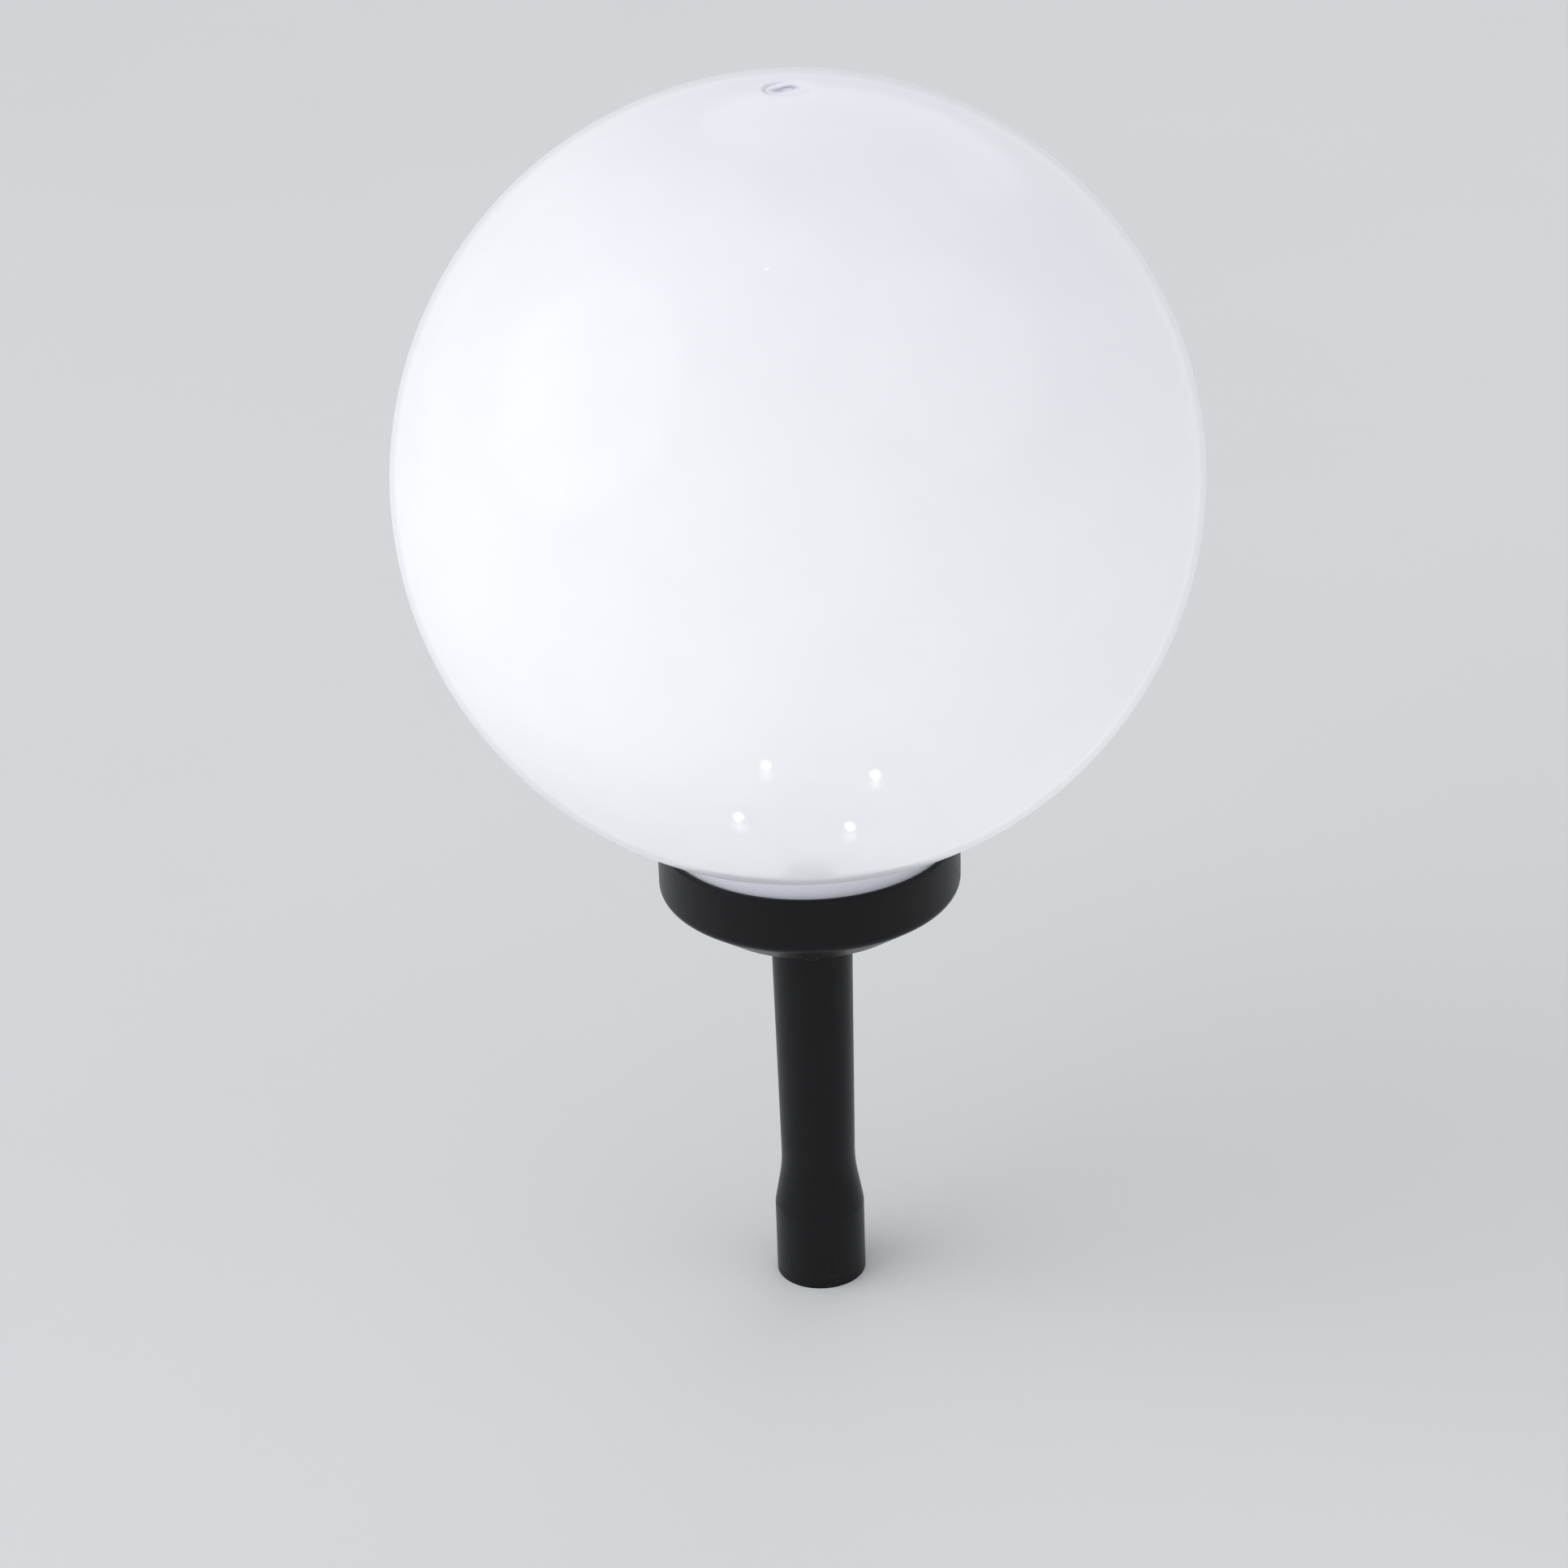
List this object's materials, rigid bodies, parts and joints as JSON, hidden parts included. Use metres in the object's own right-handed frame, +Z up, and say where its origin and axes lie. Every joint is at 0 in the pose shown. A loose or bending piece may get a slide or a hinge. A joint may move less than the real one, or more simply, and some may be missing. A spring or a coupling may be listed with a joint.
{
  "type": "garden globe light",
  "caption": "Glowing opal globe on a black cup and a tapered post with a ground spike; the globe unscrews from a solar module and a push switch sits under the cup.",
  "frame": {"origin": "on the lamp's axis at ground level, in the underside of the spike's flange", "axes": "+Z up along the lamp's axis, -Y towards the viewer, +X to the viewer's right"},
  "size_m": [0.2999, 0.3, 0.6667],
  "materials": {
    "opal_shell": "gloss opal white polyethylene, lit from inside",
    "collar_white": "satin white moulded plastic, lets some light through",
    "black_plastic": "satin black moulded plastic",
    "module_plastic": "fine matt white moulded plastic",
    "seal_rubber": "matt black rubber",
    "led_resin": "clear epoxy lamp, lit cool white",
    "panel_cell": "epoxy-coated solar cell, dark blue",
    "circuit_board": "green solder mask",
    "chip_black": "moulded chip package",
    "bright_steel": "zinc-plated steel",
    "spring_steel": "nickel-plated steel",
    "cell_wrap": "shrink-wrapped rechargeable cell, plain green",
    "capacitor_can": "aluminium can",
    "ferrite": "lacquered ferrite core",
    "wire_red": "red wire insulation"
  },
  "bodies": {
    "base": {"ground_spike": "black_plastic", "post_tube": "black_plastic", "base_cup": "black_plastic", "switch_body": "black_plastic", "switch_washer": "seal_rubber", "switch_nut": "bright_steel", "switch_leads": "wire_red", "housing_screws": "bright_steel", "module_housing": "module_plastic", "plate_gasket": "seal_rubber", "module_plate": "module_plastic", "plate_screws": "bright_steel", "solar_panel": "panel_cell", "panel_leads": "wire_red", "led_board": "circuit_board", "board_screws": "bright_steel", "charge_inductor": "ferrite", "storage_capacitor": "capacitor_can", "driver_chip": "chip_black", "battery_left": "cell_wrap", "battery_right": "cell_wrap", "battery_spring_left": "spring_steel", "battery_spring_right": "spring_steel", "bridge_contact": "spring_steel", "tab_contact_left": "spring_steel", "tab_contact_right": "spring_steel", "led_back_right": "led_resin", "led_back_left": "led_resin", "led_front_left": "led_resin", "led_front_right": "led_resin"},
    "seal": {"neck_seal": "seal_rubber"},
    "globe": {"globe_shell": "opal_shell", "neck_collar": "collar_white"},
    "button": {"switch_button": "black_plastic"}
  },
  "joints": [
    {"name": "neck_rise", "type": "slide", "parent": "base", "child": "seal", "axis": [0, 0, 1], "range_m": [0, 0.012]},
    {"name": "globe_turn", "type": "hinge", "parent": "seal", "child": "globe", "pos_m": [0, 0, 0.19], "axis": [0, 0, 1], "range_deg": [0, 90]},
    {"name": "switch_press", "type": "slide", "parent": "base", "child": "button", "axis": [0, 0, 1], "range_m": [0, 0.002], "stiffness_N_per_m": 900, "springref_m": -0.001}
  ],
  "couplings": [
    {"joint": "neck_rise", "follows": "globe_turn", "m_per_rad": 0.0076394}
  ]
}
